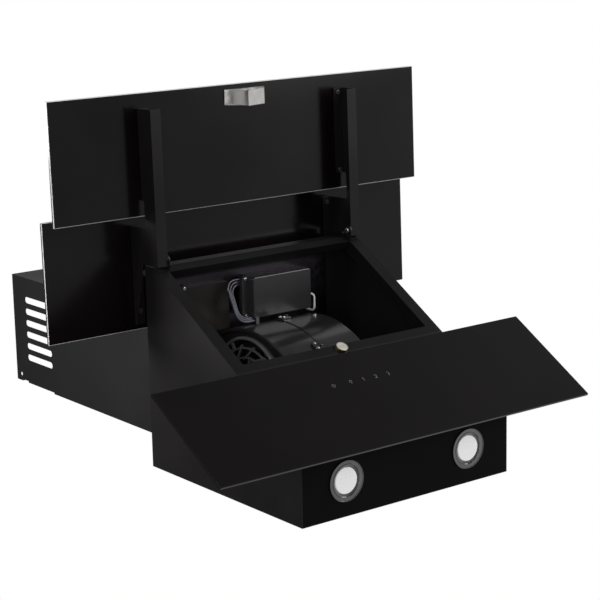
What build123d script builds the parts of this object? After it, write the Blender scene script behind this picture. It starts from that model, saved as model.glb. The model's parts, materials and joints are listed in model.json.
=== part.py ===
from build123d import *
import os
from math import cos, radians, sin, sqrt

# Wall chimney hood with a leaning front. Millimetres, +Z up, +Y towards the wall.
# Depths are measured out from the wall face and heights from the underside of the body.

# Body
body_w = 337.4
sheet = 1.0
lamp_depth = 91.8
front_lean = 30.7
front_len = 356.0
brow_face = 21.1
seam_gap = 0.3

# Wall screw holes
wall_hole_r = 4.0
wall_hole_span_x = 270.0
wall_hole_span_z = 200.0
wall_hole_centre_z = 180.0

# Filter opening, measured up the leaning front
rail_side_w = 17.7
rail_start = 146.6
rail_lower_w = 14.0
rail_upper_w = 11.4
rail_lip = 12.0
ledge_low_w = 10.0
ledge_side_w = 5.0

# Lower glass with the controls
glass_w = 600.0
glass_t = 4.0
glass_edge = 0.8
control_glass_start = -20.5
control_glass_gap = 5.6
tape_t = 0.6
tape_w = 12.0
tape_side = 8.7
tape_inset = 26.0
icon_height = 5.5
icon_line = 0.65
icon_t = 0.15
icon_up = 90.7
icon_places = (-57.4, -29.4, -8.9, 11.4, 31.8)
touch_margin = 13.4
touch_window_h = 30.0
touch_play = 0.5
touch_tray_depth = 7.0
touch_tray_rim = 6.0
touch_tray_wall = 1.5
touch_pad_r = 5.0

# Lamps in the underside
lamp_x = 100.0
lamp_back = 0.3
lamp_play = 0.5
lamp_rim_w = 3.5
lamp_rim_t = 1.6
lamp_lip_w = 0.9
lamp_face_w = 5.3
lamp_bevel = 0.4
lamp_groove = 0.6
lamp_step_w = 4.2
lamp_shelf = 2.2
lamp_lens_play = 0.3
lamp_lens_t = 3.0
lamp_lens_low = -0.3
lamp_lens_round = 1.2
lamp_barrel_r = 22.5
lamp_depth_in = 24.0
lamp_wall = 1.2
lamp_board_t = 1.6
lamp_board_play = 0.1
lamp_chip = 3.0
lamp_chip_t = 1.0
lamp_chips = 6
lamp_chip_ring = 0.6
lamp_fins = 7
lamp_fin_share = 0.5
lamp_fin_depth = 5.4
lamp_clip_w = 8.0
lamp_clip_t = 0.6
lamp_clip_reach = 11.0

# Magnet on the lower rail
magnet_r = 8.25
magnet_t = 4.5
magnet_cup_wall = 0.7
magnet_round = 0.5
magnet_in = 5.8

# Lid hinge, measured past the top of the leaning front and out of it
pivot_past = 0.54
pivot_off = 9.74
lid_tilt = 1.3
bolt_r = 2.5
bolt_head_r = 4.2
bolt_head_t = 3.2
nut_r = 3.6
nut_t = 3.0
bush_wall = 1.2
bush_play = 0.05
ear_gap = 0.4
washer_t = 0.3
hinge_plate_t = 1.6
hinge_foot = 15.0
hinge_ear_r = 8.0

# Lid arms, in the lid's own directions: out from the pivot and up from it
arm_strip_w = 15.6
arm_t = 1.2
arm_strip_past = 0.5
arm_outer_end = 197.0
arm_strip_up = -5.4
arm_ear_r = 6.5
arm_slot_w = 5.0
arm_slot_out = 78.0
arm_slot_round = 2.5
arm_flange_gap = 1.0
arm_tail_out = 41.5
arm_tail_in = -92.0
arm_tail_tip = 4.0
arm_tail_low = 33.0
arm_tail_low_out = -20.0

# Lid glass
lid_glass_len = 160.0
middle_glass_in = 56.9
middle_glass_up = 26.6
upper_glass_in = -99.2
upper_glass_up = 58.65
strip_t = 1.5
strip_inset = 1.5
arm_screw_r = 3.4
arm_screw_t = 1.8
middle_screws = (83.1, 190.8)
upper_screws = (-74.1, 33.7)
grip_left = -31.0
grip_ridge = 2.6
grip_right = 35.2
grip_low = 186.3
grip_h = 20.0
grip_skew = 3.2
grip_rise = 9.0
grip_t = 0.8

# Stops under the open lid
stop_r = 5.0

# Blower
fan_wall_gap = 4.0
fan_top_gap = 8.0
scroll_shoulder = 14.0
scroll_curve_r = 150.0
scroll_corner_r = 30.0
scroll_half_w = 62.0
scroll_wall = 2.0
inlet_play = 6.0
rim_t = 3.0
rim_w = 6.0
rim_round = 2.4
seam_bead = 1.0
seam_bead_w = 1.4
guard_t = 2.5
guard_bar = 2.4
guard_rings = (30.0, 51.0, 64.0)
guard_hub_r = 12.0
guard_spokes = 8
guard_slats = 16
guard_slat_len = 30.0
guard_slat_up = 57.0
guard_slat_turn = 50.0
guard_arms = 4
guard_arm_turn = 60.0
guard_over = 3.5
guard_seat = 1.2
guard_ring_t = 4.0
guard_ring_round = 1.8
wheel_r = 70.0
wheel_half_w = 50.0
wheel_ring_w = 4.0
blade_count = 40
blade_len = 13.0
blade_t = 1.0
blade_lean = 32.0
wheel_plate_t = 2.0
wheel_plate_x = 33.0
motor_r = 37.0
motor_half_w = 28.0
shaft_r = 4.0
shaft_play = 0.06
shaft_depth = 18.0
motor_round = 4.0
motor_arm_w = 9.0
motor_arm_t = 3.0
motor_arms = 3
motor_arm_seat = 1.5
motor_post_r = 12.0
foot_w = 10.0
foot_t = 2.0
foot_screw_r = 3.2
foot_screw_t = 2.2
foot_screw_out = 44.0
face_screw_x = 49.0
face_screw_up = 3.0
clip_w = 15.0
clip_t = 3.5
clip_len = 14.0
clip_round = 2.0
clip_edge = 0.8
clip_play = 0.05
clip_knob_r = 2.8
clip_knob_t = 2.4
clip_screw_r = 2.4
clip_screw_t = 1.6
clip_screw_span = 9.0
clip_places = ((29.8, -6.0), (-6.5, 9.0))

# Plate that carries the blower, and the junction box
plate_side = 8.5
plate_t = 1.2
plate_in = 6.0
plate_past = 7.5
box_left = -22.0
box_right = 76.0
box_gap = 0.5
box_depth = 56.0
box_lid_t = 12.0
box_base_t = 23.0
box_flange = 10.0
box_flange_t = 5.0
box_round = 4.0
box_rim = 1.5
box_screw_r = 2.6
box_screw_t = 1.8
box_screw_in = 2.9
terminal_gap = 21.4
terminal_w = 75.3
terminal_short = 5.0
terminal_past = 14.0
terminal_round = 2.0
terminal_t = 8.0
terminal_lug_r = 5.0
terminal_lug_in = 3.0
terminal_rivet_r = 2.5
terminal_rivet_t = 1.0
terminal_rivet_x = 21.6
terminal_rivet_out = 24.5
wire_r = 1.5
wire_count = 3
wire_pitch = 3.5
wire_reach = 32.0
wire_bend = 14.0
wire_over = 0.8
wire_end = 3.5
wire_low_in = 0.2
wire_low_step = 1.2
wire_low_drop = 21.0
clamp_w = 5.0
clamp_gap = 0.5
clamp_over = 4.3
clamp_low = 3.0
clamp_high = 9.6
cord_r = 1.4
cord_reach = 17.5
cord_bend = 7.0
cord_high_in = 15.5
cord_low_in = 9.0

# Outlet collar and non-return flaps
duct_wall_gap = 6.0
duct_r = 75.0
duct_wall = 1.6
duct_h = 45.0
duct_flange_w = 7.0
duct_flange_t = 2.0
duct_ledge = 2.5
duct_ledge_t = 2.0
spindle_r = 1.5
spindle_play = 0.06
spindle_up = 2.5
flap_t = 1.2
flap_gap = 0.5
flap_seat = 0.05
flap_sleeve_r = 3.0
knuckle_len = 20.0
collar_screw_r = 2.4
collar_screw_t = 2.0

# Mains inlet
gland_in = 21.7
gland_out = 50.0
gland_r = 9.0
gland_flat = 1.5
gland_play = 0.2
gland_dome_step = 1.0
gland_dome_round = 2.5
gland_bore_r = 4.0
gland_h = 16.0
gland_nut_t = 5.0

# Chimney
chimney_side_room = 2.0
chimney_front_room = 1.0
chimney_sheet = 1.0
chimney_return = 12.0
lower_len = 404.8
upper_len = 400.0
upper_shown = 117.0
slide_play = 0.4
slot_count = 6
slot_pitch = 18.4
slot_h = 10.0
slot_len = 76.0
slot_from_top = 75.0
slot_forward = 3.5
hang_hole_r = 3.0
hang_hole_out = 12.0
hang_hole_from_top = 14.0
notch_from_top = 26.0
notch_len = 18.0
notch_depth = 2.5
chimney_angle_t = 1.5
chimney_angle_foot = 15.0
chimney_angle_w = 30.0
chimney_angle_h = 25.0
chimney_angle_out = 130.0
chimney_screw_r = 3.4
chimney_screw_t = 2.0
chimney_screw_up = 15.0

# Worked out from the sizes above
lean_c = cos(radians(front_lean))
lean_s = sin(radians(front_lean))
brow_out = lamp_depth + front_len * lean_s
brow_z = front_len * lean_c
body_h = brow_z + brow_face
skin_back = sheet / lean_c
inner_w = body_w - 2 * sheet
opening_half = body_w / 2 - rail_side_w
rail_end = front_len
magnet_up = rail_start + magnet_in
control_glass_len = rail_start - control_glass_gap - control_glass_start
tape_len = body_w - 2 * tape_side
touch_middle = (icon_places[0] + icon_places[-1]) / 2
touch_window_w = icon_places[-1] - icon_places[0] + 2 * touch_margin
lamp_out = lamp_depth / 2 - lamp_back
lamp_hole_r = lamp_barrel_r + lamp_play
lamp_rim_r = lamp_hole_r + lamp_rim_w
lamp_step_r = lamp_rim_r - lamp_face_w
lamp_lens_r = lamp_step_r - lamp_step_w
open_low = rail_start + rail_lower_w
open_high = rail_end - rail_upper_w
lip_low = -sheet - rail_lip
top_under = body_h - sheet
plate_under = top_under - plate_t
pivot_up = front_len + pivot_past
pivot_out = lamp_depth + pivot_up * lean_s + pivot_off * lean_c
pivot_z = pivot_up * lean_c - pivot_off * lean_s
ear_x = opening_half
arm_ear_x = ear_x + hinge_plate_t + ear_gap
arm_web_x = arm_ear_x + arm_strip_w - arm_t
arm_inner_end = -arm_ear_r - arm_strip_past
arm_sweep_r = sqrt(arm_inner_end**2 + arm_strip_up**2) + seam_gap
hinge_foot_high = pivot_up - sqrt(arm_sweep_r**2 - (pivot_off - hinge_plate_t) ** 2)
arm_flange_out = arm_slot_out + arm_flange_gap
stop_out = pivot_out + arm_tail_low_out
middle_flange_up = middle_glass_up - strip_t
upper_flange_up = upper_glass_up - strip_t
inlet_r = wheel_r + inlet_play
scroll_r = inlet_r + scroll_shoulder
guard_r = inlet_r + guard_over
fan_out = sheet + fan_wall_gap + scroll_r
fan_z = plate_under - fan_top_gap - wheel_r
scroll_front = fan_out + scroll_r
scroll_back = fan_out - scroll_r
scroll_low = fan_z - scroll_r
scroll_curve_out = scroll_front - scroll_curve_r
face_screw_z = fan_z + face_screw_up
gland_x = gland_in - body_w / 2
gland_thread_r = gland_r - gland_flat
plate_half_w = -gland_x - gland_r - plate_side
box_in = scroll_front + box_gap
box_out = box_in + box_depth
plate_out = box_out + plate_past
terminal_right = box_left - terminal_gap
terminal_left = terminal_right - terminal_w
terminal_in = box_in - terminal_past
terminal_out = box_out - terminal_short
terminal_lug_x = terminal_left + terminal_lug_in
box_base_low = plate_under - box_base_t
box_lid_low = box_base_low - box_lid_t
wire_high_z = box_base_low + box_flange_t + wire_r + wire_over
wire_low_z = box_base_low - wire_low_drop
clamp_right = box_left - clamp_gap
clamp_left = clamp_right - clamp_w
duct_flange_r = duct_r + duct_flange_w
duct_out = duct_wall_gap + duct_flange_r
chimney_w = 2 * (duct_flange_r + chimney_side_room + chimney_sheet)
chimney_depth = duct_out + duct_flange_r + chimney_front_room + chimney_sheet
slot_centre_out = chimney_depth / 2 + slot_forward
upper_low = body_h + lower_len + upper_shown - upper_len
collar_top = body_h + duct_h
duct_ledge_top = body_h + duct_flange_t + duct_ledge_t
spindle_z = duct_ledge_top + spindle_r + spindle_up


# Shape helpers: x across, depth out from the wall, z up

def block(x0, x1, d0, d1, z0, z1):
    size = Box(x1 - x0, d1 - d0, z1 - z0)
    return Pos((x0 + x1) / 2, -(d0 + d1) / 2, (z0 + z1) / 2) * size


def rod_x(r, x0, x1, d, z):
    return Pos((x0 + x1) / 2, -d, z) * Rot(0, 90, 0) * Cylinder(r, x1 - x0)


def rod_z(r, z0, z1, x, d):
    return Pos(x, -d, (z0 + z1) / 2) * Cylinder(r, z1 - z0)


def side_shape(points, x0, x1):
    corners = [(-d, z) for d, z in points]
    outline = Plane.YZ * make_face(Polyline(*corners, close=True))
    return Pos(x0, 0, 0) * extrude(outline, amount=x1 - x0, dir=(1, 0, 0))


def mirrored(part):
    return mirror(part, about=Plane.YZ)


def group(parts):
    return Compound(children=[p for p in parts])


def on_front(part):
    # local x across, y up the leaning front, z out of it
    front = Plane(origin=(0, -lamp_depth, 0), x_dir=(1, 0, 0), z_dir=(0, -lean_c, -lean_s))
    return front.location * part


def on_lid(part):
    # the hood's own directions, turned by the tilt of the open lid about its pivot
    return Pos(0, -pivot_out, pivot_z) * Rot(-lid_tilt, 0, 0) * part


def slab(x0, x1, y0, y1, z0, z1):
    size = Box(x1 - x0, y1 - y0, z1 - z0)
    return Pos((x0 + x1) / 2, (y0 + y1) / 2, (z0 + z1) / 2) * size


def pane(width, length):
    sheet_of_glass = Box(width, length, glass_t)
    return chamfer(sheet_of_glass.edges(), glass_edge)


def pan_screw(r, t):
    # head only, its flat side at z 0
    head = Pos(0, 0, t / 2) * Cylinder(r, t)
    head = fillet(head.edges().sort_by(Axis.Z)[-1], t * 0.6)
    return head - Pos(0, 0, t) * Box(r * 1.2, r * 0.28, t) - Pos(0, 0, t) * Box(r * 0.28, r * 1.2, t)


# Sheet metal body

def make_back_plate():
    plate = block(-inner_w / 2, inner_w / 2, 0, sheet, 0, body_h)
    for sx in (-1, 1):
        for sz in (-1, 1):
            x = sx * wall_hole_span_x / 2
            z = wall_hole_centre_z + sz * wall_hole_span_z / 2
            plate -= Pos(x, 0, z) * Rot(90, 0, 0) * Cylinder(wall_hole_r, 4 * sheet)
    return plate


def make_side_panel(side):
    points = [
        (0, 0),
        (lamp_depth - skin_back, 0),
        (brow_out, brow_z + sheet / lean_s),
        (brow_out, body_h),
        (0, body_h),
    ]
    panel = side_shape(points, inner_w / 2, body_w / 2)
    return panel if side > 0 else mirrored(panel)


def make_lamp_panel():
    panel = block(-inner_w / 2, inner_w / 2, sheet, lamp_depth - skin_back, 0, sheet)
    for side in (-1, 1):
        panel -= rod_z(lamp_hole_r, -sheet, 2 * sheet, side * lamp_x, lamp_out)
    return panel


def make_top_plate():
    brow_low = brow_z + sheet / lean_s
    points = [
        (sheet, top_under),
        (sheet, body_h),
        (brow_out, body_h),
        (brow_out, brow_low),
        (brow_out - sheet, brow_low),
        (brow_out - sheet, top_under),
    ]
    plate = side_shape(points, -inner_w / 2, inner_w / 2)
    plate -= rod_z(duct_r, top_under - sheet, body_h + sheet, 0, duct_out)
    plate -= rod_z(gland_thread_r + gland_play, top_under - sheet, body_h + sheet, gland_x, gland_out)
    return plate


def make_front_plate():
    plate = slab(-body_w / 2, body_w / 2, 0, rail_start, -sheet, 0)
    half = touch_window_w / 2
    plate -= slab(
        touch_middle - half, touch_middle + half,
        icon_up - touch_window_h / 2, icon_up + touch_window_h / 2,
        -2 * sheet, sheet,
    )
    return on_front(plate)


def make_frame_rail_side(side):
    rail = slab(opening_half, body_w / 2, rail_start, rail_end, -sheet, 0)
    rail += slab(opening_half, opening_half + sheet, rail_start, rail_end, lip_low, -sheet)
    rail += slab(
        opening_half - ledge_side_w, opening_half,
        open_low + sheet, open_high - sheet, lip_low, lip_low + sheet,
    )
    return on_front(rail if side > 0 else mirrored(rail))


def cross_rail(edge, flange_end, into):
    # edge: where the opening begins, into: 1 when the opening lies further up
    half = opening_half
    lip_back = edge - into * sheet
    rail = slab(-half, half, min(edge, flange_end), max(edge, flange_end), -sheet, 0)
    rail += slab(-half, half, min(edge, lip_back), max(edge, lip_back), lip_low, -sheet)
    return rail


def make_frame_rail_lower():
    half = opening_half - ledge_side_w - seam_gap
    ledge_end = open_low + ledge_low_w
    rail = cross_rail(open_low, rail_start, 1)
    rail += slab(-half, half, open_low, ledge_end, lip_low, lip_low + sheet)
    return on_front(rail)


def make_frame_rail_upper():
    return on_front(cross_rail(open_high, rail_end, -1))


# Lower glass and controls

def make_control_glass():
    middle = control_glass_start + control_glass_len / 2
    height = tape_t + glass_t / 2
    return on_front(Pos(0, middle, height) * pane(glass_w, control_glass_len))


def make_glass_tape():
    top = control_glass_start + control_glass_len
    strips = []
    for y in (tape_inset - tape_w, top - tape_w):
        strips.append(on_front(slab(-tape_len / 2, tape_len / 2, y, y + tape_w, 0, tape_t)))
    return group(strips)


def make_touch_board():
    half_w = touch_window_w / 2 - touch_play
    half_h = touch_window_h / 2 - touch_play
    board = slab(
        touch_middle - half_w, touch_middle + half_w, icon_up - half_h, icon_up + half_h,
        -sheet, 0,
    )
    for x in icon_places:
        board += Pos(x, icon_up, tape_t / 2) * Cylinder(touch_pad_r, tape_t)
    return on_front(board)


def make_touch_tray():
    middle = touch_middle
    half_w = touch_window_w / 2 + touch_tray_rim
    half_h = touch_window_h / 2 + touch_tray_rim
    low = -sheet - touch_tray_depth
    tray = slab(middle - half_w, middle + half_w, icon_up - half_h, icon_up + half_h, low, -sheet)
    wall = touch_tray_wall
    tray -= slab(
        middle - half_w + wall, middle + half_w - wall,
        icon_up - half_h + wall, icon_up + half_h - wall,
        low + wall, 0,
    )
    return on_front(tray)


def icon_power():
    r = icon_height * 0.42
    ring = trace(CenterArc((0, 0), r, 125, 290), line_width=icon_line)
    bar = Pos(0, r * 0.75) * Rectangle(icon_line, r * 1.1)
    return ring + bar


def icon_lamp():
    r = icon_height * 0.3
    bulb = trace(CenterArc((0, r * 0.6), r, -60, 300), line_width=icon_line)
    base = Pos(0, -r * 0.75) * Rectangle(r * 1.1, icon_line)
    foot = Pos(0, -r * 1.35) * Rectangle(r * 0.7, icon_line)
    return bulb + base + foot


def icon_one():
    stem = Rectangle(icon_line, icon_height)
    top = icon_height / 2 - icon_line / 2
    flag = trace(Polyline((-icon_height * 0.2, top - icon_height * 0.18), (0, top)), line_width=icon_line)
    return stem + flag


def icon_two():
    r = icon_height * 0.27
    top = icon_height / 2 - r
    curve = trace(CenterArc((0, top), r, -35, 195), line_width=icon_line)
    end = (r * cos(radians(-35)), top + r * sin(radians(-35)))
    slant = trace(Polyline(end, (-r, -icon_height / 2 + icon_line / 2)), line_width=icon_line)
    foot = Pos(0, -icon_height / 2 + icon_line / 2) * Rectangle(2.4 * r, icon_line)
    return curve + slant + foot


def icon_three():
    r = icon_height * 0.25
    upper = trace(CenterArc((0, r), r, -90, 230), line_width=icon_line)
    lower = trace(CenterArc((0, -r), r, -140, 230), line_width=icon_line)
    return upper + lower


def make_control_icons():
    drawings = (icon_power(), icon_lamp(), icon_one(), icon_two(), icon_three())
    solids = []
    for x, drawing in zip(icon_places, drawings):
        symbol = extrude(drawing, amount=icon_t, dir=(0, 0, 1))
        solids.append(on_front(Pos(x, icon_up, tape_t + glass_t) * symbol))
    return group(solids)


# Magnet

def make_magnet_cup():
    cup = Pos(0, 0, magnet_t / 2) * Cylinder(magnet_r, magnet_t)
    cup -= Pos(0, 0, magnet_t / 2 + magnet_cup_wall) * Cylinder(magnet_r - magnet_cup_wall, magnet_t)
    return on_front(Pos(0, magnet_up, 0) * cup)


def make_magnet_disc():
    thick = magnet_t - magnet_cup_wall
    disc = Pos(0, 0, thick / 2) * Cylinder(magnet_r - magnet_cup_wall, thick)
    disc = fillet(disc.edges().sort_by(Axis.Z)[-1], magnet_round)
    return on_front(Pos(0, magnet_up, magnet_cup_wall) * disc)


# Lamps

def at_lamps(part):
    return group([Pos(side * lamp_x, -lamp_out, 0) * part for side in (-1, 1)])


def ring_section(points):
    face = Plane.XZ * make_face(Polyline(*points, close=True))
    return revolve(face, Axis.Z, 360)


def make_lamp_bezels():
    lip = lamp_rim_r - lamp_lip_w
    flat = lamp_rim_t - lamp_groove
    floor = lamp_lens_r + lamp_lens_play
    bore = lamp_barrel_r - lamp_wall
    points = [
        (lamp_rim_r, 0),
        (lamp_rim_r, lamp_bevel - lamp_rim_t),
        (lamp_rim_r - lamp_bevel, -lamp_rim_t),
        (lip, -lamp_rim_t),
        (lip - lamp_bevel, -flat),
        (lamp_step_r + lamp_groove, -flat),
        (lamp_step_r + lamp_groove / 3, -lamp_rim_t),
        (lamp_step_r - lamp_groove, -lamp_rim_t),
        (lamp_step_r - 2 * lamp_groove, lamp_bevel),
        (floor, 2 * lamp_bevel),
        (floor, lamp_shelf),
        (bore, lamp_shelf),
        (bore, lamp_depth_in / 2),
        (lamp_barrel_r, lamp_depth_in / 2),
        (lamp_barrel_r, 0),
    ]
    return at_lamps(ring_section(points))


def make_lamp_lenses():
    lens = Pos(0, 0, lamp_lens_low + lamp_lens_t / 2) * Cylinder(lamp_lens_r, lamp_lens_t)
    lens = fillet(lens.edges().sort_by(Axis.Z)[0], lamp_lens_round)
    return at_lamps(lens)


def make_lamp_leds():
    low = lamp_depth_in / 2
    board_r = lamp_barrel_r - lamp_wall - lamp_board_play
    board = Pos(0, 0, low + lamp_board_t / 2) * Cylinder(board_r, lamp_board_t)
    chip = Pos(lamp_lens_r * lamp_chip_ring, 0, low - lamp_chip_t / 2) * Box(lamp_chip, lamp_chip, lamp_chip_t)
    for i in range(lamp_chips):
        board += Rot(0, 0, 360 / lamp_chips * i) * chip
    return at_lamps(board)


def make_lamp_housings():
    low = lamp_depth_in / 2
    can = Pos(0, 0, (low + lamp_depth_in) / 2) * Cylinder(lamp_barrel_r, lamp_depth_in - low)
    can -= Pos(0, 0, low + lamp_board_t / 2) * Cylinder(lamp_barrel_r - lamp_wall, lamp_board_t)
    pitch = 2 * lamp_barrel_r / lamp_fins
    groove = Box(pitch * lamp_fin_share, 4 * lamp_barrel_r, 2 * lamp_fin_depth)
    for i in range(lamp_fins - 1):
        x = (i - (lamp_fins - 2) / 2) * pitch
        can -= Pos(x, 0, lamp_depth_in) * groove
    return at_lamps(can)


def make_lamp_clips():
    spring = slab(
        lamp_barrel_r, lamp_barrel_r + lamp_clip_t, -lamp_clip_w / 2, lamp_clip_w / 2,
        sheet, lamp_clip_reach,
    )
    spring += slab(
        lamp_barrel_r, lamp_barrel_r + lamp_clip_reach / 2, -lamp_clip_w / 2, lamp_clip_w / 2,
        sheet, sheet + lamp_clip_t,
    )
    pair = [spring, Rot(0, 0, 180) * spring]
    solids = []
    for side in (-1, 1):
        for clip in pair:
            solids.append(Pos(side * lamp_x, -lamp_out, 0) * clip)
    return group(solids)


# Fixed side of the lid hinge

def make_hinge_brackets():
    up = pivot_up
    out = pivot_off
    foot_low = open_high + sheet
    ear = slab(ear_x, ear_x + hinge_plate_t, foot_low, rail_end, 0, out)
    ear += Pos(ear_x + hinge_plate_t / 2, up, out) * Rot(0, 90, 0) * Cylinder(hinge_ear_r, hinge_plate_t)
    foot = slab(ear_x, ear_x + hinge_foot, foot_low, hinge_foot_high, 0, hinge_plate_t)
    bracket = ear + foot
    bracket -= Pos(ear_x, up, out) * Rot(0, 90, 0) * Cylinder(bolt_r, 6 * hinge_plate_t)
    right = on_front(bracket)
    return group([right, mirrored(right)])


def make_hinge_bolts():
    nut_x = arm_ear_x + arm_t + ear_gap
    shank = rod_x(bolt_r, ear_x, nut_x + nut_t, 0, 0)
    head = Rot(0, -90, 0) * pan_screw(bolt_head_r, bolt_head_t)
    nut = rod_x(nut_r, nut_x, nut_x + nut_t, 0, 0)
    right = on_lid(shank + Pos(ear_x, 0, 0) * head + nut)
    return group([right, mirrored(right)])


def make_hinge_washers():
    low = ear_x + hinge_plate_t + (ear_gap - washer_t) / 2
    high = arm_ear_x + arm_t + (ear_gap - washer_t) / 2
    solids = []
    for x in (low, high):
        ring = rod_x(nut_r, x, x + washer_t, 0, 0) - rod_x(bolt_r, x - 1, x + 1, 0, 0)
        right = on_lid(ring)
        solids += [right, mirrored(right)]
    return group(solids)


def make_lid_stops():
    # the arm's tail rests on the rubber at its lowest point
    along = arm_tail_low_out
    tip_z = pivot_z + arm_tail_low * cos(radians(lid_tilt)) + along * sin(radians(lid_tilt))
    top = tip_z - seam_gap
    x = arm_web_x - stop_r + arm_t
    return group([rod_z(stop_r, body_h, top, side * x, stop_out) for side in (-1, 1)])


# Lid

def make_lid_arm(side):
    web_points = [
        (arm_inner_end, arm_strip_up),
        (arm_outer_end, arm_strip_up),
        (arm_outer_end, middle_flange_up),
        (arm_tail_out, middle_flange_up),
        (arm_tail_out, upper_flange_up),
        (arm_tail_in, upper_flange_up),
        (arm_tail_in, upper_flange_up - arm_tail_tip),
        (arm_tail_low_out, arm_tail_low),
        (arm_inner_end, arm_tail_low),
    ]
    arm = side_shape(web_points, arm_web_x, arm_web_x + arm_t)
    slot = block(
        arm_web_x - 1, arm_web_x + arm_t + 1, arm_tail_out - arm_slot_w, arm_slot_out,
        middle_flange_up - arm_slot_w, middle_flange_up + arm_slot_w,
    )
    slot = fillet(slot.edges().filter_by(Axis.X), arm_slot_round)
    keep = block(
        arm_web_x - 1, arm_web_x + arm_t + 1, arm_tail_in, arm_tail_out,
        arm_strip_up, upper_flange_up,
    )
    arm -= slot - keep
    arm += block(
        arm_ear_x, arm_web_x, arm_inner_end, arm_outer_end, arm_strip_up, arm_strip_up + arm_t,
    )
    arm += block(
        arm_ear_x, arm_web_x, arm_flange_out, arm_outer_end,
        middle_flange_up - arm_t, middle_flange_up,
    )
    arm += block(
        arm_ear_x, arm_web_x, arm_tail_in, arm_tail_out, upper_flange_up - arm_t, upper_flange_up,
    )
    ear = block(arm_ear_x, arm_ear_x + arm_t, -arm_ear_r, arm_ear_r, arm_strip_up, 0)
    ear += rod_x(arm_ear_r, arm_ear_x, arm_ear_x + arm_t, 0, 0)
    arm += ear
    arm -= rod_x(bolt_r + bush_play + bush_wall, arm_ear_x - 1, arm_ear_x + arm_t + 0.01, 0, 0)
    arm = on_lid(arm)
    return arm if side > 0 else mirrored(arm)


def make_hinge_bushes():
    x0 = arm_ear_x
    x1 = arm_ear_x + arm_t
    bore = bolt_r + bush_play
    bush = rod_x(bore + bush_wall, x0, x1, 0, 0) - rod_x(bore, x0 - 1, x1 + 1, 0, 0)
    right = on_lid(bush)
    return group([right, mirrored(right)])


def make_lid_glass(start, up):
    middle = start + lid_glass_len / 2
    return on_lid(Pos(0, -middle, up + glass_t / 2) * pane(glass_w, lid_glass_len))


def make_glass_strips():
    spans = (
        (arm_flange_out, arm_outer_end, middle_glass_up),
        (arm_tail_in, arm_tail_out, upper_glass_up),
    )
    solids = []
    for start, end, up in spans:
        strip = block(
            arm_ear_x + strip_inset, arm_web_x, start + strip_inset, end - strip_inset,
            up - strip_t, up,
        )
        right = on_lid(strip)
        solids += [right, mirrored(right)]
    return group(solids)


def make_arm_screws():
    x = (arm_ear_x + arm_web_x) / 2
    places = [(out, middle_flange_up) for out in middle_screws]
    places += [(out, upper_flange_up) for out in upper_screws]
    solids = []
    for out, up in places:
        head = Rot(180, 0, 0) * pan_screw(arm_screw_r, arm_screw_t)
        right = on_lid(Pos(x, -out, up - arm_t) * head)
        solids += [right, mirrored(right)]
    return group(solids)


def plan_shape(points, h0, h1):
    # outline seen through the glass: across and out
    corners = [(x, -out) for x, out in points]
    outline = make_face(Polyline(*corners, close=True))
    return Pos(0, 0, h0) * extrude(outline, amount=h1 - h0, dir=(0, 0, 1))


def make_grip_plate():
    drop = -grip_t / 2
    left = (grip_left, drop - grip_t)
    ridge = (grip_ridge, -grip_rise)
    right = (grip_right, drop)
    swept = ThreePointArc(left, (grip_left * 0.4, -grip_rise * 0.3), ridge)
    leaf = trace(swept, line_width=grip_t)
    leaf += trace(Polyline(ridge, right), line_width=grip_t)
    leaf += Pos(*ridge) * Circle(grip_t / 2)
    leaf = Plane.XZ * leaf
    leaf = Pos(0, -grip_low + grip_h, 0) * extrude(leaf, amount=3 * grip_h, dir=(0, -1, 0))
    narrow = [
        (grip_left, grip_low + 2 * grip_skew),
        (grip_left, grip_low + grip_h + grip_skew),
        (grip_ridge, grip_low + grip_h),
        (grip_right, grip_low + grip_h),
        (grip_right, grip_low),
        (grip_ridge, grip_low),
    ]
    leaf &= plan_shape(narrow, -2 * grip_rise, 0)
    wide = [
        (grip_left, grip_low + grip_skew),
        (grip_left, grip_low + grip_h + grip_skew),
        (grip_right, grip_low + grip_h + grip_skew),
        (grip_right, grip_low),
        (grip_ridge, grip_low),
    ]
    plate = leaf + plan_shape(wide, -grip_t, 0)
    return on_lid(Pos(0, 0, middle_glass_up) * plate)


# Blower

def scroll_solid(inset, x0, x1, top):
    # wide curve towards the front, flat along the wall, rounded below
    curve = Pos(-scroll_curve_out, fan_z) * Circle(scroll_curve_r - inset)
    back = scroll_back + inset
    low = scroll_low + inset
    front = scroll_front - inset
    keep = Pos(-(back + front) / 2, (low + top) / 2) * Rectangle(front - back, top - low)
    outline = curve & keep
    corners = outline.vertices().group_by(Axis.Y)[0]
    outline = fillet(corners, scroll_corner_r - inset)
    return Pos(x0, 0, 0) * extrude(Plane.YZ * outline, amount=x1 - x0, dir=(1, 0, 0))


def make_scroll_half(side):
    end = scroll_half_w + rim_t
    half = scroll_solid(0, 0, end, plate_under)
    half -= scroll_solid(rim_w, scroll_half_w, end + 1, plate_under + 1)
    rim = half.edges().group_by(Axis.X)[-1].filter_by_position(Axis.Z, 0, plate_under - seam_gap)
    half = fillet(rim, rim_round)
    half += scroll_solid(-seam_bead, 0, seam_bead_w, plate_under)
    if side < 0:
        half += block(
            -clamp_right, -clamp_left, scroll_curve_out, box_in + clamp_over,
            wire_low_z - clamp_low, wire_low_z + clamp_high,
        )
    half -= scroll_solid(scroll_wall, -1, scroll_half_w - scroll_wall, plate_under + 1)
    half -= rod_x(inlet_r, 0, end, fan_out, fan_z)
    for edge in (-1, 1):
        out = fan_out + edge * foot_screw_out
        half += block(
            scroll_half_w - scroll_wall, scroll_half_w + foot_w, out - foot_w, out + foot_w,
            plate_under - foot_t, plate_under,
        )
    return half if side > 0 else mirrored(half)


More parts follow.
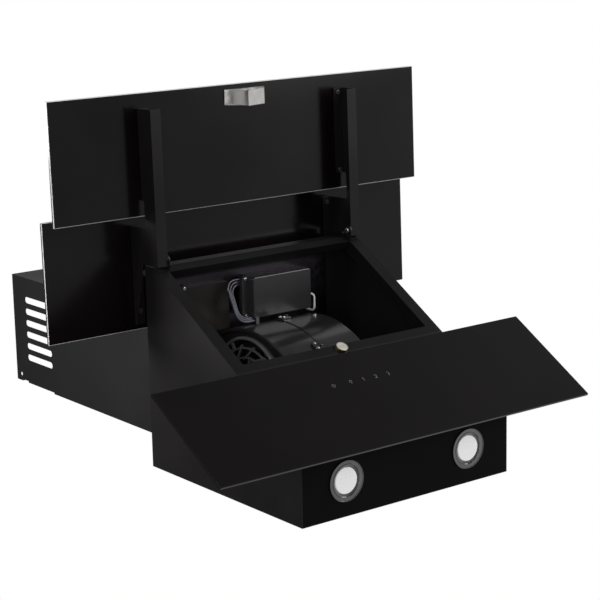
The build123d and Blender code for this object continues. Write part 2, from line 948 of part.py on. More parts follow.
def make_scroll_screws():
    solids = []
    x = scroll_half_w + foot_w / 2
    for side in (-1, 1):
        for edge in (-1, 1):
            out = fan_out + edge * foot_screw_out
            head = Rot(180, 0, 0) * pan_screw(foot_screw_r, foot_screw_t)
            solids.append(Pos(side * x, -out, plate_under - foot_t) * head)
    face = Rot(90, 0, 0) * pan_screw(foot_screw_r, foot_screw_t)
    solids.append(Pos(face_screw_x, -scroll_front, face_screw_z) * face)
    return solids


def make_inlet_guard(side):
    x0 = scroll_half_w
    inner = inlet_r - guard_seat
    ring = rod_x(guard_r, x0, x0 + guard_ring_t, fan_out, fan_z)
    ring -= rod_x(inner, x0 - 1, x0 + guard_ring_t + 1, fan_out, fan_z)
    ring = fillet(ring.edges().group_by(Axis.X)[-1], guard_ring_round)
    bars = Circle(guard_hub_r)
    for r in guard_rings:
        bars += Circle(r + guard_bar / 2) - Circle(r - guard_bar / 2)
    middle_r = guard_rings[1]
    spoke = Pos(middle_r / 2, 0) * Rectangle(middle_r, guard_bar)
    for i in range(guard_spokes):
        bars += Rot(0, 0, 360 / guard_spokes * i) * spoke
    slat = Pos(guard_slat_up, 0) * Rot(0, 0, guard_slat_turn) * Rectangle(guard_slat_len, guard_bar)
    for i in range(guard_slats):
        bars += Rot(0, 0, 360 / guard_slats * i) * slat
    outer_r = guard_rings[-1]
    arm = Pos((outer_r + guard_r) / 2, 0) * Rectangle(guard_r - outer_r - 1, 2 * guard_bar)
    for i in range(guard_arms):
        bars += Rot(0, 0, guard_arm_turn + 360 / guard_arms * i) * arm
    guard = Pos(x0, -fan_out, fan_z) * extrude(Plane.YZ * bars, amount=guard_t, dir=(1, 0, 0))
    guard += ring
    guard &= block(0, x0 + guard_ring_t, 0, fan_out + guard_r, 0, plate_under - foot_t)
    return guard if side > 0 else mirrored(guard)


def on_scroll(part, turn, x):
    # local y out of the curved front, x across
    axis = Pos(x, -scroll_curve_out, fan_z)
    return axis * Rot(180 + turn, 0, 0) * Pos(0, scroll_curve_r, 0) * part


def make_seam_clips():
    solids = []
    shell = scroll_solid(-clip_play, -2 * clip_w, 2 * clip_w, plate_under)
    bead = seam_bead_w + clip_play
    shell += scroll_solid(-seam_bead - clip_play, -bead, bead, plate_under)
    half_w = clip_w / 2
    half_len = clip_len / 2
    for turn, x in clip_places:
        clip = slab(-half_w, half_w, 0, clip_t, -half_len, half_len)
        clip = fillet(clip.edges().filter_by(Axis.Y), clip_round)
        clip = fillet(clip.edges().group_by(Axis.Y)[-1], clip_edge)
        knob = Pos(half_w / 2, clip_t + clip_knob_t / 2, 0) * Rot(90, 0, 0) * Cylinder(clip_knob_r, clip_knob_t)
        knob = fillet(knob.edges().sort_by(Axis.Y)[-1], clip_edge)
        solids.append(on_scroll(clip + knob, turn, x) - shell)
    return group(solids)


def make_clip_screws():
    solids = []
    for turn, x in clip_places:
        for edge in (-1, 1):
            head = Rot(-90, 0, 0) * pan_screw(clip_screw_r, clip_screw_t)
            head = Pos(-clip_w / 4, clip_t, edge * clip_screw_span / 2) * head
            solids.append(on_scroll(head, turn, x))
    return solids


def make_motor():
    body = rod_x(motor_r, -motor_half_w, motor_half_w, fan_out, fan_z)
    body = fillet(body.edges(), motor_round)
    bore = rod_x(shaft_r + shaft_play, motor_half_w - shaft_depth, motor_half_w + 1, fan_out, fan_z)
    return body - bore


def make_motor_bracket():
    left = -scroll_half_w + scroll_wall
    post = rod_x(motor_post_r, left, -motor_half_w, fan_out, fan_z)
    arms = post
    reach = inlet_r + motor_arm_seat
    for i in range(motor_arms):
        arm = slab(
            0, motor_arm_t, -motor_arm_w / 2, motor_arm_w / 2, 0, reach,
        )
        arms += Pos(left, -fan_out, fan_z) * Rot(360 / motor_arms * i, 0, 0) * arm
    return arms


def make_impeller():
    inner = wheel_r - wheel_ring_w
    ring = Circle(wheel_r) - Circle(inner - blade_len * 0.4)
    blades = Sketch()
    middle = wheel_r - blade_len / 2
    for i in range(blade_count):
        blade = Pos(middle, 0) * Rot(0, 0, blade_lean) * Rectangle(blade_len, blade_t)
        blades += Rot(0, 0, 360 / blade_count * i) * blade
    cage = extrude(Plane.YZ * blades, amount=2 * wheel_half_w, dir=(1, 0, 0))
    wheel = Pos(-wheel_half_w, 0, 0) * cage
    end_ring = extrude(Plane.YZ * ring, amount=wheel_plate_t, dir=(1, 0, 0))
    wheel += Pos(-wheel_half_w, 0, 0) * end_ring
    wheel += Pos(wheel_half_w - wheel_plate_t, 0, 0) * end_ring
    plate = Circle(wheel_r) - Circle(shaft_r)
    hub = Circle(shaft_r * 2.5) - Circle(shaft_r)
    wheel += Pos(wheel_plate_x, 0, 0) * extrude(Plane.YZ * plate, amount=wheel_plate_t, dir=(1, 0, 0))
    wheel += Pos(wheel_plate_x, 0, 0) * extrude(Plane.YZ * hub, amount=4 * wheel_plate_t, dir=(1, 0, 0))
    return Pos(0, -fan_out, fan_z) * wheel


def make_motor_shaft():
    start = motor_half_w - shaft_depth + seam_gap
    end = wheel_plate_x + 4 * wheel_plate_t
    return rod_x(shaft_r, start, end, fan_out, fan_z)


def make_mounting_plate():
    plate = block(-plate_half_w, plate_half_w, plate_in, plate_out, plate_under, top_under)
    half = scroll_half_w - scroll_wall
    outlet = rod_z(duct_r, plate_under - 1, top_under + 1, 0, duct_out)
    outlet &= block(-half, half, 0, plate_out, plate_under - 1, top_under + 1)
    return plate - outlet


# Junction box and wiring

def make_junction_box_base():
    base = block(
        box_left, box_right, box_in, box_out, box_base_low, plate_under,
    )
    base = fillet(base.edges().filter_by(Axis.Z), box_round)
    flange = block(
        box_left - box_flange, box_left + box_round, box_in, box_out,
        box_base_low, box_base_low + box_flange_t,
    )
    flange = fillet(flange.edges().filter_by(Axis.Z), box_round - 1)
    base += flange
    wall = box_rim * 2
    base -= block(
        box_left + wall, box_right - wall, box_in + wall, box_out - wall,
        box_base_low - 1, plate_under - wall,
    )
    return base


def make_junction_box_lid():
    lid = block(box_left, box_right, box_in, box_out, box_lid_low, box_base_low)
    lid = fillet(lid.edges().filter_by(Axis.Z), box_round)
    lid = fillet(lid.edges().group_by(Axis.Z)[0], box_rim)
    wall = box_rim * 2
    return lid - block(
        box_left + wall, box_right - wall, box_in + wall, box_out - wall,
        box_lid_low + wall, box_base_low + 1,
    )


def make_box_screws():
    x = box_left - box_flange / 2
    solids = []
    for out in (box_in + box_screw_in, box_out - box_screw_in):
        head = Rot(180, 0, 0) * pan_screw(box_screw_r, box_screw_t)
        solids.append(Pos(x, -out, box_base_low) * head)
    return solids


def make_terminal_cover():
    low = plate_under - terminal_t
    cover = block(terminal_left, terminal_right, terminal_in, terminal_out, low, plate_under)
    cover = fillet(cover.edges().filter_by(Axis.Z), terminal_round)
    cover += rod_z(terminal_lug_r, low, plate_under, terminal_lug_x, terminal_out)
    rivet_x = terminal_right - terminal_rivet_x
    rivet_out = terminal_out - terminal_rivet_out
    cover += rod_z(terminal_rivet_r, low - terminal_rivet_t, low, rivet_x, rivet_out)
    return cover


def make_terminal_screw():
    head = Rot(180, 0, 0) * pan_screw(box_screw_r, box_screw_t)
    return [Pos(terminal_lug_x, -terminal_out, plate_under - terminal_t) * head]


def tube(points, r, bend):
    path = FilletPolyline(*points, radius=bend)
    start = Plane(origin=path @ 0, z_dir=path % 0)
    return sweep(start * Circle(r), path=path)


def make_wiring_loom():
    # from the box round the flange's corner to the clamp on the scroll
    solids = []
    for i in range(wire_count):
        step = i * wire_pitch
        x1 = box_left - wire_reach + step
        high = -(box_out - wire_end - step)
        low = -(box_in - wire_low_in + i * wire_low_step)
        z_low = wire_low_z + step
        points = [
            (box_left, high, wire_high_z),
            (x1, high, wire_high_z),
            (x1, low, z_low),
            (clamp_left, low, z_low),
        ]
        solids.append(tube(points, wire_r, wire_bend))
    return group(solids)


def make_motor_cable():
    # round the box's corner, then up to the plate
    x0 = box_right
    x1 = x0 + cord_reach
    z = box_base_low + cord_r * 3
    high = -box_in - cord_high_in
    low = cord_low_in - scroll_front
    middle = (high + low) / 2
    cable = tube([(x0, high, z), (x1, high, z), (x1, middle, z)], cord_r, cord_bend)
    return cable + tube([(x1, middle, z), (x1, low, z), (x1, low, plate_under)], cord_r, cord_bend)


def make_cable_gland():
    low = top_under - gland_nut_t
    body = rod_z(gland_thread_r, low, body_h + gland_h, gland_x, gland_out)
    body += Pos(gland_x, -gland_out, low + gland_nut_t / 2) * extrude(
        RegularPolygon(gland_r, 6), amount=gland_nut_t / 2, both=True,
    )
    body += Pos(gland_x, -gland_out, body_h) * extrude(RegularPolygon(gland_r, 6), amount=gland_nut_t)
    dome_r = gland_r - gland_dome_step
    dome = rod_z(dome_r, body_h + gland_nut_t, body_h + gland_h, gland_x, gland_out)
    dome = fillet(dome.edges().sort_by(Axis.Z)[-1], gland_dome_round)
    body += dome
    return body - rod_z(gland_bore_r, low - 1, body_h + gland_h + 1, gland_x, gland_out)


# Outlet collar and flaps

def make_duct_collar():
    inner = duct_r - duct_wall
    collar = rod_z(duct_r, body_h, collar_top, 0, duct_out)
    collar += rod_z(duct_flange_r, body_h, body_h + duct_flange_t, 0, duct_out)
    collar -= rod_z(inner, duct_ledge_top, collar_top + 1, 0, duct_out)
    collar -= rod_x(spindle_r, -duct_r - 1, duct_r + 1, duct_out, spindle_z)
    return collar - rod_z(inner - duct_ledge, body_h - 1, duct_ledge_top + 1, 0, duct_out)


def make_collar_screws():
    solids = []
    r = (duct_r + duct_flange_r) / 2
    for turn in (45, 135, 225, 315):
        x = r * cos(radians(turn))
        out = duct_out + r * sin(radians(turn))
        head = pan_screw(collar_screw_r, collar_screw_t)
        solids.append(Pos(x, -out, body_h + duct_flange_t) * head)
    return solids


def make_flap_spindle():
    return rod_x(spindle_r, -duct_r, duct_r, duct_out, spindle_z)


def make_flap(side):
    # side 1 is the front flap, -1 the one next to the wall
    r = duct_r - duct_wall - flap_gap
    rest = duct_ledge_top + flap_seat
    disc = rod_z(r, rest, rest + flap_t, 0, duct_out)
    edge = flap_gap
    if side > 0:
        disc &= block(-r, r, duct_out + edge, duct_out + r, rest, rest + flap_t)
    else:
        disc &= block(-r, r, duct_out - r, duct_out - edge, rest, rest + flap_t)
    first = -2 if side > 0 else -1
    flap = disc
    for i in (first, first + 2):
        x0 = i * (knuckle_len + flap_gap) + flap_gap / 2
        x1 = x0 + knuckle_len
        sleeve = rod_x(flap_sleeve_r, x0, x1, duct_out, spindle_z)
        near = duct_out + side * edge
        far = duct_out + side * flap_sleeve_r
        link = block(x0, x1, min(near, far), max(near, far), rest, spindle_z)
        flap += sleeve + link
    other = -1 if side > 0 else -2
    for i in (other, other + 2):
        x0 = i * (knuckle_len + flap_gap) + flap_gap / 2 - flap_gap
        x1 = x0 + knuckle_len + 2 * flap_gap
        flap -= rod_x(flap_sleeve_r + flap_gap, x0, x1, duct_out, spindle_z)
    return flap - rod_x(spindle_r + spindle_play, -r, r, duct_out, spindle_z)


# Chimney

def cover(width, depth_in, depth_out, wall, z0, z1):
    # three walls and two narrow returns at the wall side
    shell = block(-width / 2, width / 2, depth_in, depth_out, z0, z1)
    shell -= block(
        -width / 2 + wall, width / 2 - wall, depth_in + wall, depth_out - wall, z0 - 1, z1 + 1,
    )
    half = width / 2 - chimney_return
    return shell - block(-half, half, depth_in - 1, depth_in + wall + 1, z0 - 1, z1 + 1)


def make_chimney_lower():
    return cover(chimney_w, 0, chimney_depth, chimney_sheet, body_h, body_h + lower_len)


def make_chimney_upper():
    inset = chimney_sheet + slide_play
    top = upper_low + upper_len
    width = chimney_w - 2 * inset
    shell = cover(width, inset, chimney_depth - inset, chimney_sheet, upper_low, top)
    span = (slot_count - 1) * slot_pitch
    for i in range(slot_count):
        out = slot_centre_out - span / 2 + i * slot_pitch
        slot = SlotOverall(slot_len, slot_h)
        slot = Plane.YZ * (Rot(0, 0, 90) * slot)
        cutter = extrude(slot, amount=width / 2 + 1, both=True, dir=(1, 0, 0))
        shell -= Pos(0, -out, top - slot_from_top) * cutter
    for side in (-1, 1):
        x = side * width / 2
        shell -= rod_x(hang_hole_r, x - 2, x + 2, hang_hole_out, top - hang_hole_from_top)
        shell -= block(
            min(x, x - side * chimney_return) - 1, max(x, x - side * chimney_return) + 1,
            0, inset + notch_depth,
            top - notch_from_top - notch_len / 2, top - notch_from_top + notch_len / 2,
        )
    return shell


def make_chimney_brackets():
    x1 = chimney_w / 2 - chimney_sheet
    d0 = chimney_angle_out
    d1 = d0 + chimney_angle_w
    t = chimney_angle_t
    right = block(x1 - t, x1, d0, d1, body_h, body_h + chimney_angle_h)
    right += block(x1 - chimney_angle_foot, x1, d0, d1, body_h, body_h + t)
    right -= rod_z(duct_flange_r + 1, body_h - 1, body_h + 2 * chimney_angle_h, 0, duct_out)
    return group([right, mirrored(right)])


def make_chimney_screws():
    solids = []
    z = body_h + chimney_screw_up
    out = chimney_angle_out + chimney_angle_w / 2
    for side in (-1, 1):
        head = Rot(0, side * 90, 0) * pan_screw(chimney_screw_r, chimney_screw_t)
        solids.append(Pos(side * chimney_w / 2, -out, z) * head)
    return solids


nodes = {
    "back_plate": make_back_plate(),
    "side_panel_left": make_side_panel(-1),
    "side_panel_right": make_side_panel(1),
    "lamp_panel": make_lamp_panel(),
    "top_plate": make_top_plate(),
    "front_plate": make_front_plate(),
    "frame_rail_left": make_frame_rail_side(-1),
    "frame_rail_right": make_frame_rail_side(1),
    "frame_rail_lower": make_frame_rail_lower(),
    "frame_rail_upper": make_frame_rail_upper(),
    "control_glass": make_control_glass(),
    "glass_tape": make_glass_tape(),
    "touch_board": make_touch_board(),
    "touch_tray": make_touch_tray(),
    "control_icons": make_control_icons(),
    "magnet_cup": make_magnet_cup(),
    "magnet_disc": make_magnet_disc(),
    "lamp_bezels": make_lamp_bezels(),
    "lamp_lenses": make_lamp_lenses(),
    "lamp_leds": make_lamp_leds(),
    "lamp_housings": make_lamp_housings(),
    "lamp_clips": make_lamp_clips(),
    "hinge_brackets": make_hinge_brackets(),
    "hinge_bolts": make_hinge_bolts(),
    "hinge_washers": make_hinge_washers(),
    "lid_stops": make_lid_stops(),
    "lid_arm_left": make_lid_arm(-1),
    "lid_arm_right": make_lid_arm(1),
    "hinge_bushes": make_hinge_bushes(),
    "middle_glass": make_lid_glass(middle_glass_in, middle_glass_up),
    "upper_glass": make_lid_glass(upper_glass_in, upper_glass_up),
    "glass_strips": make_glass_strips(),
    "arm_screws": make_arm_screws(),
    "grip_plate": make_grip_plate(),
    "mounting_plate": make_mounting_plate(),
    "scroll_half_left": make_scroll_half(-1),
    "scroll_half_right": make_scroll_half(1),
    "inlet_guard_left": make_inlet_guard(-1),
    "inlet_guard_right": make_inlet_guard(1),
    "seam_clips": make_seam_clips(),
    "motor": make_motor(),
    "motor_bracket": make_motor_bracket(),
    "impeller": make_impeller(),
    "motor_shaft": make_motor_shaft(),
    "junction_box_base": make_junction_box_base(),
    "junction_box_lid": make_junction_box_lid(),
    "terminal_cover": make_terminal_cover(),
    "inner_screws": group(
        make_scroll_screws() + make_clip_screws() + make_box_screws() + make_terminal_screw()
    ),
    "wiring_loom": make_wiring_loom(),
    "motor_cable": make_motor_cable(),
    "cable_gland": make_cable_gland(),
    "duct_collar": make_duct_collar(),
    "flap_spindle": make_flap_spindle(),
    "flap_front": make_flap(1),
    "flap_rear": make_flap(-1),
    "chimney_lower": make_chimney_lower(),
    "chimney_upper": make_chimney_upper(),
    "chimney_brackets": make_chimney_brackets(),
    "top_screws": group(make_collar_screws() + make_chimney_screws()),
}

os.makedirs("parts", exist_ok=True)
for name, part in nodes.items():
    export_step(Pos(0, 0, -wall_hole_centre_z) * part, f"parts/{name}.step")
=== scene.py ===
import json
from math import radians

import bpy
from mathutils import Matrix, Vector

# Looks of a wall chimney hood with its glass lid open. Metres, +Z up, the wall at +Y.

# Camera, set by the photograph's view: from below, the hood's front towards the picture's top
camera_place = Vector((-1.4357, -0.7511, -1.8485))
camera_forward = Vector((0.59127, 0.21869, 0.77625))
camera_roll = radians(-1.254)
picture_up = Vector((0.0, -1.0, 0.0))
sensor_width = 36.0
camera_lens = 110.44
camera_near = 0.01
camera_far = 100.0

# Light and stage. The sky is white to the camera. Metal and glass see it white on one side, where
# sky_bright points, and grey elsewhere
ambient = 0.2
white = 1.0
sky_dim = 0.1
sky_bright = (0.894, 0.42, 0.158)
sky_bright_fall = 2.0
floor_half = 0.7
floor_drop = 2.2

# Noise lies mostly between these two values
noise_range = (0.3, 0.7)

# Powder coat: steps per metre and levels of detail of its clouds and its fine texture, how far the
# roughness strays, and how high the texture stands
coat_cloud = (9.0, 4.0)
coat_texture = (1400.0, 2.0)
coat_stray = (-0.04, 0.04)
coat_relief = 0.00001
coarse_coat_relief = 0.00002

# Moulded pieces, in the same terms
mould_cloud = (24.0, 3.0)
mould_texture = (900.0, 2.0)
mould_stray = (-0.02, 0.03)
mould_relief = 0.000006

# Brushed metal, in the same terms, and how its lines are drawn out along X, Y and Z
brush_lines = (60.0, 6.0)
brush_stray = (-0.08, 0.08)
brush_relief = 0.00001
even = (1, 1, 1)

# Galvanised sheet
spangle_steps = 140.0
spangle_dark = (0.053, 0.046, 0.055)
spangle_light = (0.059, 0.052, 0.062)
spangle_roughness = (0.34, 0.42)

# Panes: 1 where the inner side faces up at rest, -1 where it faces down, and the flat grey of the
# bevel, light on the lid panes as a painted highlight along their edges
panes = {"control_glass": (1, 0.006), "middle_glass": (-1, 0.6), "upper_glass": (-1, 0.6)}
glass_cloud = (7.0, 5.0)
glass_dark = (0.002, 0.0013, 0.0016)
glass_light = (0.0032, 0.0022, 0.0027)
glass_out_to_in = (-0.2, 0.2)
glass_roughness = (0.07, 0.17)
glass_smudge = (0.85, 1.2)
bevel_turn = (0.3, 0.9)

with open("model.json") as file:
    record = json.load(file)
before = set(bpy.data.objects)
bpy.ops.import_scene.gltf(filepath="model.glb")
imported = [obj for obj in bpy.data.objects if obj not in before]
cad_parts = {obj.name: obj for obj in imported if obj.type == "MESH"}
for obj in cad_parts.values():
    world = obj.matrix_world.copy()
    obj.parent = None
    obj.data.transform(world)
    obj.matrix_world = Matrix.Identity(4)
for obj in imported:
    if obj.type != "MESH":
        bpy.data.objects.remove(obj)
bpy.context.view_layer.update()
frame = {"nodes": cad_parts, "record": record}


# Node helpers. The owner is a material or the world

def add_node(owner, kind, **settings):
    node = owner.node_tree.nodes.new(kind)
    for key, value in settings.items():
        setattr(node, key, value)
    return node


def feed(owner, value, socket):
    # the value is another node's output, a number or a colour
    if isinstance(value, bpy.types.NodeSocket):
        owner.node_tree.links.new(value, socket)
    else:
        socket.default_value = value


def calculate(owner, operation, first, second=0.0):
    node = add_node(owner, "ShaderNodeMath", operation=operation)
    feed(owner, first, node.inputs[0])
    feed(owner, second, node.inputs[1])
    return node.outputs["Value"]


def along(owner, source, direction):
    node = add_node(owner, "ShaderNodeVectorMath", operation="DOT_PRODUCT")
    feed(owner, source, node.inputs[0])
    feed(owner, direction, node.inputs[1])
    return node.outputs["Value"]


def remap(owner, source, old, new):
    node = add_node(owner, "ShaderNodeMapRange")
    feed(owner, source, node.inputs["Value"])
    for label, value in zip(("From Min", "From Max", "To Min", "To Max"), (*old, *new)):
        feed(owner, value, node.inputs[label])
    return node.outputs["Result"]


def mix(owner, factor, first, second, data_type="FLOAT"):
    node = add_node(owner, "ShaderNodeMix", data_type=data_type)
    feed(owner, factor, node.inputs["Factor"])
    feed(owner, first, node.inputs["A"])
    feed(owner, second, node.inputs["B"])
    return node.outputs["Result"]


# Finishes

def grey(value, warm=0.0, cool=0.0):
    return (value * (1 + warm), value, value * (1 + cool))


def sheet_grey(value):
    return grey(value, 0.15, 0.07)


def plain(name, color, roughness, metallic=0.0, specular=0.5):
    mat = bpy.data.materials.new(name)
    mat.use_nodes = True
    finish(mat, "Base Color", (*color, 1.0))
    finish(mat, "Roughness", roughness)
    finish(mat, "Metallic", metallic)
    finish(mat, "Specular IOR Level", specular)
    return mat


def finish(mat, socket, value):
    feed(mat, value, mat.node_tree.nodes["Principled BSDF"].inputs[socket])


def grain(mat, steps, detail, stretch=even):
    # noise in the part's own coordinates, from 0 to 1
    place = add_node(mat, "ShaderNodeTexCoord")
    mapping = add_node(mat, "ShaderNodeMapping")
    feed(mat, place.outputs["Object"], mapping.inputs["Vector"])
    feed(mat, stretch, mapping.inputs["Scale"])
    noise = add_node(mat, "ShaderNodeTexNoise")
    feed(mat, mapping.outputs["Vector"], noise.inputs["Vector"])
    feed(mat, steps, noise.inputs["Scale"])
    feed(mat, detail, noise.inputs["Detail"])
    return noise.outputs["Fac"]


def shades(mat, source, dark, light):
    ramp = add_node(mat, "ShaderNodeValToRGB")
    for stop, position, color in zip(ramp.color_ramp.elements, noise_range, (dark, light)):
        stop.position = position
        stop.color = (*color, 1.0)
    feed(mat, source, ramp.inputs["Fac"])
    return ramp.outputs["Color"]


def stray(mat, source, roughness, limits):
    low, high = limits
    finish(mat, "Roughness", remap(mat, source, noise_range, (roughness + low, roughness + high)))


def emboss(mat, source, height):
    bump = add_node(mat, "ShaderNodeBump")
    feed(mat, height, bump.inputs["Distance"])
    feed(mat, source, bump.inputs["Height"])
    finish(mat, "Normal", bump.outputs["Normal"])


def powder_coat(name, dark, light, roughness, specular, height=coat_relief):
    mat = plain(name, light, roughness, specular=specular)
    cloud = grain(mat, *coat_cloud)
    finish(mat, "Base Color", shades(mat, cloud, dark, light))
    stray(mat, cloud, roughness, coat_stray)
    emboss(mat, grain(mat, *coat_texture), height)
    return mat


def moulded(name, dark, light, roughness, specular=0.5):
    mat = plain(name, light, roughness, specular=specular)
    cloud = grain(mat, *mould_cloud)
    finish(mat, "Base Color", shades(mat, cloud, dark, light))
    stray(mat, cloud, roughness, mould_stray)
    emboss(mat, grain(mat, *mould_texture), mould_relief)
    return mat


def brushed(name, dark, light, roughness, stretch=even, metallic=1.0):
    mat = plain(name, light, roughness, metallic=metallic)
    lines = grain(mat, *brush_lines, stretch)
    finish(mat, "Base Color", shades(mat, lines, dark, light))
    stray(mat, lines, roughness, brush_stray)
    emboss(mat, lines, brush_relief)
    return mat


def galvanised(name):
    mat = plain(name, spangle_light, spangle_roughness[1], metallic=1.0)
    place = add_node(mat, "ShaderNodeTexCoord")
    spangle = add_node(mat, "ShaderNodeTexVoronoi")
    feed(mat, place.outputs["Object"], spangle.inputs["Vector"])
    feed(mat, spangle_steps, spangle.inputs["Scale"])
    cells = spangle.outputs["Distance"]
    finish(mat, "Base Color", shades(mat, cells, spangle_dark, spangle_light))
    finish(mat, "Roughness", remap(mat, cells, noise_range, spangle_roughness))
    return mat


def pane_glass(piece, inner_up, bevel_highlight_grey):
    # black glass, polished outside, painted inside, with ground bevels; the bevels take a flat grey,
    # light on the lid panes as a painted highlight
    mat = plain("black_glass_" + piece.name, glass_light, glass_roughness[0])
    inward = max(piece.data.polygons, key=lambda face: face.area).normal.copy()
    if inward.z * inner_up < 0:
        inward.negate()
    place = add_node(mat, "ShaderNodeTexCoord")
    side = along(mat, place.outputs["Normal"], inward)
    turned = calculate(mat, "ABSOLUTE", side)
    steep = calculate(mat, "GREATER_THAN", turned, bevel_turn[0])
    shallow = calculate(mat, "LESS_THAN", turned, bevel_turn[1])
    bevel = calculate(mat, "MULTIPLY", steep, shallow)
    cloud = grain(mat, *glass_cloud)
    face = shades(mat, cloud, glass_dark, glass_light)
    # the bevel faces get a flat grey, which on the lid panes is a painted highlight
    finish(mat, "Base Color", mix(mat, bevel, face, (*grey(bevel_highlight_grey), 1.0), "RGBA"))
    gloss = remap(mat, side, glass_out_to_in, glass_roughness)
    smudge = remap(mat, cloud, noise_range, glass_smudge)
    finish(mat, "Roughness", calculate(mat, "MULTIPLY", gloss, smudge))
    return mat


# Materials: one for each slot of the record but black_glass, whose panes have their own, one for the
# arm screws, and darker copies of the body sheet for the frame rails and the underside, which are
# painted shade

def make_materials():
    made = {}

    def keep(maker, name, *look, **more):
        made[name] = maker(name, *look, **more)

    keep(powder_coat, "body_sheet", sheet_grey(0.0054), sheet_grey(0.0074), 0.36, specular=0.26)
    keep(powder_coat, "chimney_sheet", grey(0.0095), grey(0.0115), 0.36, specular=0.3)
    # the frame rails: the body's powder coat painted darker, as painted shade
    keep(powder_coat, "rail_painted_shade_sheet", grey(0.0042), grey(0.0056), 0.36, specular=0.14)
    # the lamp panel's underside: the body's powder coat painted darker, as painted shade
    keep(powder_coat, "underside_painted_shade_sheet", grey(0.0018), grey(0.0026), 0.42, 0.06, coarse_coat_relief)
    keep(moulded, "bonding", grey(0.01), grey(0.02), 0.7)
    keep(moulded, "circuit_board", (0.01, 0.06, 0.03), (0.015, 0.09, 0.045), 0.35)
    keep(moulded, "tray_plastic", grey(0.012), grey(0.02), 0.5)
    keep(moulded, "symbols", grey(0.10), grey(0.13), 0.5)
    keep(brushed, "magnet_cup", (0.34, 0.27, 0.14), (0.5, 0.42, 0.25), 0.35, (1, 6, 6))
    keep(brushed, "magnet_face", (0.42, 0.4, 0.35), (0.5, 0.48, 0.43), 0.4, (1, 6, 1), metallic=0.35)
    keep(brushed, "lamp_ring", grey(0.24), grey(0.3), 0.14)
    keep(moulded, "lamp_lens", grey(0.93), grey(0.96), 0.3)
    keep(moulded, "lamp_board", grey(0.5), grey(0.7), 0.4)
    keep(brushed, "lamp_can", grey(0.35), grey(0.5), 0.45)
    keep(brushed, "spring_steel", grey(0.4), grey(0.55), 0.3, (1, 1, 8))
    keep(brushed, "hardware", grey(0.45), grey(0.6), 0.28)
    keep(moulded, "black_screw", grey(0.02), grey(0.03), 0.2, specular=0.8)
    keep(moulded, "bush", grey(0.015), grey(0.025), 0.4)
    keep(moulded, "stop_rubber", grey(0.012), grey(0.02), 0.8)
    keep(brushed, "grip", grey(0.58, 0.02, -0.03), grey(0.68, 0.02, -0.03), 0.2)
    keep(galvanised, "galvanised")
    keep(moulded, "scroll_plastic", grey(0.010), grey(0.013, 0, 0.06), 0.16, specular=0.8)
    keep(moulded, "guard_wire", grey(0.08), grey(0.1, 0, 0.06), 0.2, specular=0.8)
    keep(moulded, "wheel_plastic", grey(0.010), grey(0.016, 0.06, 0.1), 0.38)
    keep(brushed, "motor_steel", grey(0.2), grey(0.3), 0.45)
    keep(brushed, "shaft_steel", grey(0.5), grey(0.6), 0.25, (6, 1, 1))
    keep(moulded, "box_plastic", grey(0.017), grey(0.019, 0, 0.06), 0.26, specular=0.6)
    keep(moulded, "terminal_cover", (0.009, 0.007, 0.006), (0.011, 0.009, 0.0075), 0.3, specular=0.3)
    keep(moulded, "wires", (0.022, 0.022, 0.034), (0.04, 0.04, 0.06), 0.2, specular=0.45)
    keep(moulded, "white_cord", grey(0.6), grey(0.7), 0.4)
    keep(moulded, "duct_plastic", grey(0.012), grey(0.02), 0.5)
    return made


def dress(materials):
    for part in frame["record"]["subparts"]:
        name = part["node"]
        piece = frame["nodes"][name]
        if name in panes:
            paint = pane_glass(piece, *panes[name])
        elif name == "lamp_panel":
            paint = materials["underside_painted_shade_sheet"]
        elif name.startswith("frame_rail"):
            paint = materials["rail_painted_shade_sheet"]
        elif name == "arm_screws":
            paint = materials["black_screw"]
        else:
            paint = materials[part["material_slot"]]
        for slot in piece.material_slots:
            slot.material = paint


# Camera, light and stage

def place_object(name, data, matrix):
    thing = bpy.data.objects.new(name, data)
    bpy.context.collection.objects.link(thing)
    thing.matrix_world = matrix
    return thing


def make_camera():
    data = bpy.data.cameras.new("camera")
    data.lens = camera_lens
    data.sensor_width = sensor_width
    data.clip_start = camera_near
    data.clip_end = camera_far
    forward = camera_forward.normalized()
    right = forward.cross(picture_up).normalized()
    right.rotate(Matrix.Rotation(-camera_roll, 3, forward))
    turn = Matrix((right, right.cross(forward), -forward)).transposed()
    camera = place_object("camera", data, Matrix.Translation(camera_place) @ turn.to_4x4())
    bpy.context.scene.camera = camera


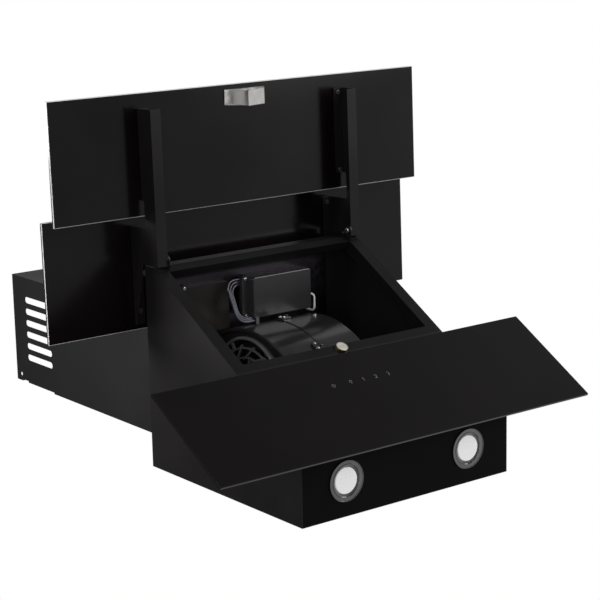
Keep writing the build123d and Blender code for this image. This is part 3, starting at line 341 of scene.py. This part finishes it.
def make_world():
    world = bpy.data.worlds.new("studio")
    world.use_nodes = True
    world.node_tree.nodes.clear()
    bpy.context.scene.world = world
    ray = add_node(world, "ShaderNodeLightPath").outputs
    place = add_node(world, "ShaderNodeTexCoord")
    toward = calculate(world, "MAXIMUM", along(world, place.outputs["Generated"], sky_bright), 0.0)
    fall = calculate(world, "POWER", toward, sky_bright_fall)
    reflected = remap(world, fall, (0.0, 1.0), (sky_dim, white))
    mirrored = calculate(world, "MAXIMUM", ray["Is Glossy Ray"], ray["Is Transmission Ray"])
    unseen = mix(world, mirrored, ambient, reflected)
    sky = add_node(world, "ShaderNodeBackground")
    feed(world, (1.0, 1.0, 1.0, 1.0), sky.inputs["Color"])
    feed(world, mix(world, ray["Is Camera Ray"], unseen, white), sky.inputs["Strength"])
    out = add_node(world, "ShaderNodeOutputWorld")
    feed(world, sky.outputs["Background"], out.inputs["Surface"])


def make_lamp(name, place, target, width, power, mirrored=True):
    data = bpy.data.lights.new(name, "AREA")
    data.shape = "SQUARE"
    data.size = width
    data.energy = power
    aim = Vector(target) - Vector(place)
    turn = aim.to_track_quat("-Z", "Y").to_matrix().to_4x4()
    lamp = place_object(name, data, Matrix.Translation(place) @ turn)
    lamp.visible_camera = False
    lamp.visible_glossy = mirrored


def make_floor():
    bpy.ops.mesh.primitive_plane_add(size=2 * floor_half, location=(0, 0, -floor_drop))
    floor = bpy.context.object
    floor.name = "stage_floor"
    floor.data.materials.append(moulded("stage_floor", grey(0.78), grey(0.8), 0.8))


bpy.context.scene.view_settings.view_transform = "Standard"
dress(make_materials())
make_camera()
make_world()
make_floor()
make_lamp("key", (1.07, -1.26, -0.92), (0, -0.15, 0.05), width=1.5, power=27)
make_lamp("fill", (-1.5, -0.8, -1.8), (0, -0.15, 0.1), width=1.2, power=25, mirrored=False)
make_lamp("side", (-0.58, -0.38, 0.42), (-0.12, -0.12, 0.15), width=0.25, power=6)
make_lamp("rim", (-1.25, -1.3, -0.2), (0, -0.1, 0.1), width=0.4, power=6)
